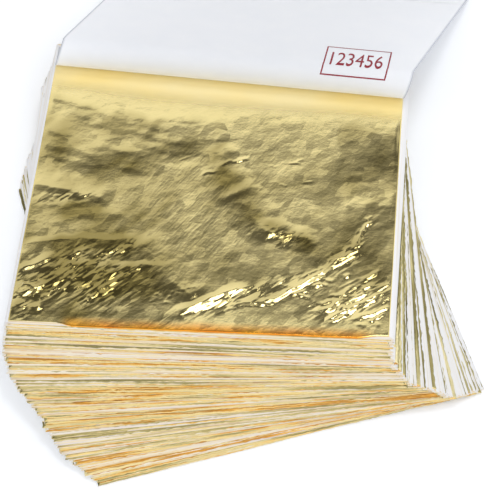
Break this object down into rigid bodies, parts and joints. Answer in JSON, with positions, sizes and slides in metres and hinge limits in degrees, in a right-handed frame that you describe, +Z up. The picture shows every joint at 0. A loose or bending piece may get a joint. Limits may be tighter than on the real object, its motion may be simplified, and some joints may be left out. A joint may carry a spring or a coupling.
{
  "type": "pack of imitation gold leaf",
  "caption": "Fanned pack of square gold leaves between white tissues, with a plain back sheet and a white cover folded back in a loose roll.",
  "frame": {"origin": "middle of the back sheet's underside, where the pack rests on the table", "axes": "+Z up, +Y to the back edge of the lowest sheets, +X to their right edge"},
  "size_m": [0.2335, 0.289, 0.0269],
  "materials": {
    "tissue_paper": "thin uncoated tissue, matt",
    "gold_leaf": "beaten brass leaf, crinkled and bright",
    "cover_paper": "smooth white sheet, a little translucent"
  },
  "bodies": {
    "base": {"back_sheet": "cover_paper", "tissues_01": "tissue_paper", "gold_leaves_01": "gold_leaf"},
    "packet_02": {"tissues_02": "tissue_paper", "gold_leaves_02": "gold_leaf"},
    "packet_03": {"tissues_03": "tissue_paper", "gold_leaves_03": "gold_leaf"},
    "packet_04": {"tissues_04": "tissue_paper", "gold_leaves_04": "gold_leaf"},
    "packet_05": {"tissues_05": "tissue_paper", "gold_leaves_05": "gold_leaf"},
    "packet_06": {"tissues_06": "tissue_paper", "gold_leaves_06": "gold_leaf"},
    "packet_07": {"tissues_07": "tissue_paper", "gold_leaves_07": "gold_leaf"},
    "packet_08": {"tissues_08": "tissue_paper", "gold_leaves_08": "gold_leaf"},
    "packet_09": {"tissues_09": "tissue_paper", "gold_leaves_09": "gold_leaf"},
    "packet_10": {"tissues_10": "tissue_paper", "gold_leaves_10": "gold_leaf"},
    "packet_11": {"tissues_11": "tissue_paper", "gold_leaves_11": "gold_leaf"},
    "packet_12": {"tissues_12": "tissue_paper", "gold_leaves_12": "gold_leaf"},
    "packet_13": {"tissues_13": "tissue_paper", "gold_leaves_13": "gold_leaf"},
    "packet_14": {"tissues_14": "tissue_paper", "gold_leaves_14": "gold_leaf"},
    "packet_15": {"tissues_15": "tissue_paper", "gold_leaves_15": "gold_leaf"},
    "packet_16": {"tissues_16": "tissue_paper", "gold_leaves_16": "gold_leaf"},
    "packet_17": {"tissues_17": "tissue_paper", "gold_leaves_17": "gold_leaf"},
    "packet_18": {"tissues_18": "tissue_paper", "gold_leaves_18": "gold_leaf"},
    "packet_19": {"tissues_19": "tissue_paper", "gold_leaves_19": "gold_leaf"},
    "packet_20": {"tissues_20": "tissue_paper", "gold_leaves_20": "gold_leaf"},
    "packet_21": {"tissues_21": "tissue_paper", "gold_leaves_21": "gold_leaf"},
    "packet_22": {"tissues_22": "tissue_paper", "gold_leaves_22": "gold_leaf"},
    "packet_23": {"tissues_23": "tissue_paper", "gold_leaves_23": "gold_leaf"},
    "packet_24": {"tissues_24": "tissue_paper", "gold_leaves_24": "gold_leaf"},
    "packet_25": {"tissues_25": "tissue_paper", "gold_leaves_25": "gold_leaf", "cover_margin": "cover_paper"},
    "first_sheet": {"first_tissue": "tissue_paper", "first_gold_leaf": "gold_leaf"},
    "flap": {"cover_flap": "cover_paper"},
    "flap_end": {"cover_end": "cover_paper"}
  },
  "joints": [
    {"name": "fan_02", "type": "hinge", "parent": "base", "child": "packet_02", "pos_m": [0.04709, 0.02355, 0.00067], "axis": [0, 0, 1], "range_deg": [-0.4, 1.35]},
    {"name": "fan_03", "type": "hinge", "parent": "base", "child": "packet_03", "pos_m": [0.04693, 0.02387, 0.00123], "axis": [0, 0, 1], "range_deg": [-0.61, 2.14]},
    {"name": "fan_04", "type": "hinge", "parent": "base", "child": "packet_04", "pos_m": [0.04652, 0.02467, 0.00179], "axis": [0, 0, 1], "range_deg": [-1.14, 4.09]},
    {"name": "fan_05", "type": "hinge", "parent": "base", "child": "packet_05", "pos_m": [0.0463, 0.0251, 0.00235], "axis": [0, 0, 1], "range_deg": [-1.42, 5.13]},
    {"name": "fan_06", "type": "hinge", "parent": "base", "child": "packet_06", "pos_m": [0.04596, 0.02574, 0.00291], "axis": [0, 0, 1], "range_deg": [-1.84, 6.7]},
    {"name": "fan_07", "type": "hinge", "parent": "base", "child": "packet_07", "pos_m": [0.04789, 0.02395, 0.00347], "axis": [0, 0, 1], "range_deg": [-1.98, 7.22]},
    {"name": "fan_08", "type": "hinge", "parent": "base", "child": "packet_08", "pos_m": [0.05359, 0.01882, 0.00403], "axis": [0, 0, 1], "range_deg": [-2.34, 8.57]},
    {"name": "fan_09", "type": "hinge", "parent": "base", "child": "packet_09", "pos_m": [0.05641, 0.01644, 0.00459], "axis": [0, 0, 1], "range_deg": [-2.57, 9.43]},
    {"name": "fan_10", "type": "hinge", "parent": "base", "child": "packet_10", "pos_m": [0.05901, 0.0144, 0.00515], "axis": [0, 0, 1], "range_deg": [-2.83, 10.4]},
    {"name": "fan_11", "type": "hinge", "parent": "base", "child": "packet_11", "pos_m": [0.06036, 0.01341, 0.00571], "axis": [0, 0, 1], "range_deg": [-2.99, 10.98]},
    {"name": "fan_12", "type": "hinge", "parent": "base", "child": "packet_12", "pos_m": [0.06436, 0.0139, 0.00627], "axis": [0, 0, 1], "range_deg": [-3.36, 12.37]},
    {"name": "fan_13", "type": "hinge", "parent": "base", "child": "packet_13", "pos_m": [0.0671, 0.01619, 0.00683], "axis": [0, 0, 1], "range_deg": [-3.55, 13.07]},
    {"name": "fan_14", "type": "hinge", "parent": "base", "child": "packet_14", "pos_m": [0.07063, 0.01933, 0.00739], "axis": [0, 0, 1], "range_deg": [-3.84, 14.12]},
    {"name": "fan_15", "type": "hinge", "parent": "base", "child": "packet_15", "pos_m": [0.07193, 0.02055, 0.00795], "axis": [0, 0, 1], "range_deg": [-3.95, 14.56]},
    {"name": "fan_16", "type": "hinge", "parent": "base", "child": "packet_16", "pos_m": [0.07514, 0.02374, 0.00851], "axis": [0, 0, 1], "range_deg": [-4.28, 15.78]},
    {"name": "fan_17", "type": "hinge", "parent": "base", "child": "packet_17", "pos_m": [0.07959, 0.02515, 0.00907], "axis": [0, 0, 1], "range_deg": [-4.41, 16.27]},
    {"name": "fan_18", "type": "hinge", "parent": "base", "child": "packet_18", "pos_m": [0.08434, 0.02666, 0.00963], "axis": [0, 0, 1], "range_deg": [-4.56, 16.8]},
    {"name": "fan_19", "type": "hinge", "parent": "base", "child": "packet_19", "pos_m": [0.08704, 0.02756, 0.01019], "axis": [0, 0, 1], "range_deg": [-4.64, 17.12]},
    {"name": "fan_20", "type": "hinge", "parent": "base", "child": "packet_20", "pos_m": [0.09132, 0.02531, 0.01075], "axis": [0, 0, 1], "range_deg": [-4.94, 18.22]},
    {"name": "fan_21", "type": "hinge", "parent": "base", "child": "packet_21", "pos_m": [0.09331, 0.02407, 0.01131], "axis": [0, 0, 1], "range_deg": [-5.1, 18.82]},
    {"name": "fan_22", "type": "hinge", "parent": "base", "child": "packet_22", "pos_m": [0.09965, 0.02204, 0.01187], "axis": [0, 0, 1], "range_deg": [-5.22, 19.28]},
    {"name": "fan_23", "type": "hinge", "parent": "base", "child": "packet_23", "pos_m": [0.1031, 0.02113, 0.01243], "axis": [0, 0, 1], "range_deg": [-5.25, 19.37]},
    {"name": "fan_24", "type": "hinge", "parent": "base", "child": "packet_24", "pos_m": [0.11264, 0.01866, 0.01299], "axis": [0, 0, 1], "range_deg": [-5.31, 19.6]},
    {"name": "fan_25", "type": "hinge", "parent": "base", "child": "packet_25", "pos_m": [0.11865, 0.01713, 0.01355], "axis": [0, 0, 1], "range_deg": [-5.3, 19.7]},
    {"name": "first_sheet_draw", "type": "slide", "parent": "packet_25", "child": "first_sheet", "axis": [-0.3371, -0.9415, 0], "range_m": [0, 0.15]},
    {"name": "cover_fold", "type": "hinge", "parent": "packet_25", "child": "flap", "pos_m": [0.02025, 0.09429, 0.02057], "axis": [0.9092, -0.4163, 0], "range_deg": [0, 197.61]},
    {"name": "cover_crease", "type": "hinge", "parent": "flap", "child": "flap_end", "pos_m": [0.05124, 0.16198, 0.00051], "axis": [0.9092, -0.4163, 0], "range_deg": [-17.71, 0.1]}
  ],
  "couplings": [
    {"joint": "fan_02", "follows": "fan_25", "ratio": 0.066168},
    {"joint": "fan_03", "follows": "fan_25", "ratio": 0.10587},
    {"joint": "fan_04", "follows": "fan_25", "ratio": 0.20512},
    {"joint": "fan_05", "follows": "fan_25", "ratio": 0.25805},
    {"joint": "fan_06", "follows": "fan_25", "ratio": 0.33746},
    {"joint": "fan_07", "follows": "fan_25", "ratio": 0.36388},
    {"joint": "fan_08", "follows": "fan_25", "ratio": 0.43235},
    {"joint": "fan_09", "follows": "fan_25", "ratio": 0.47636},
    {"joint": "fan_10", "follows": "fan_25", "ratio": 0.52527},
    {"joint": "fan_11", "follows": "fan_25", "ratio": 0.55461},
    {"joint": "fan_12", "follows": "fan_25", "ratio": 0.6254},
    {"joint": "fan_13", "follows": "fan_25", "ratio": 0.66094},
    {"joint": "fan_14", "follows": "fan_25", "ratio": 0.71423},
    {"joint": "fan_15", "follows": "fan_25", "ratio": 0.73644},
    {"joint": "fan_16", "follows": "fan_25", "ratio": 0.79862},
    {"joint": "fan_17", "follows": "fan_25", "ratio": 0.82333},
    {"joint": "fan_18", "follows": "fan_25", "ratio": 0.85018},
    {"joint": "fan_19", "follows": "fan_25", "ratio": 0.8663},
    {"joint": "fan_20", "follows": "fan_25", "ratio": 0.92224},
    {"joint": "fan_21", "follows": "fan_25", "ratio": 0.95293},
    {"joint": "fan_22", "follows": "fan_25", "ratio": 0.97637},
    {"joint": "fan_23", "follows": "fan_25", "ratio": 0.98059},
    {"joint": "fan_24", "follows": "fan_25", "ratio": 0.9924},
    {"joint": "cover_crease", "follows": "cover_fold", "ratio": -0.089115}
  ]
}
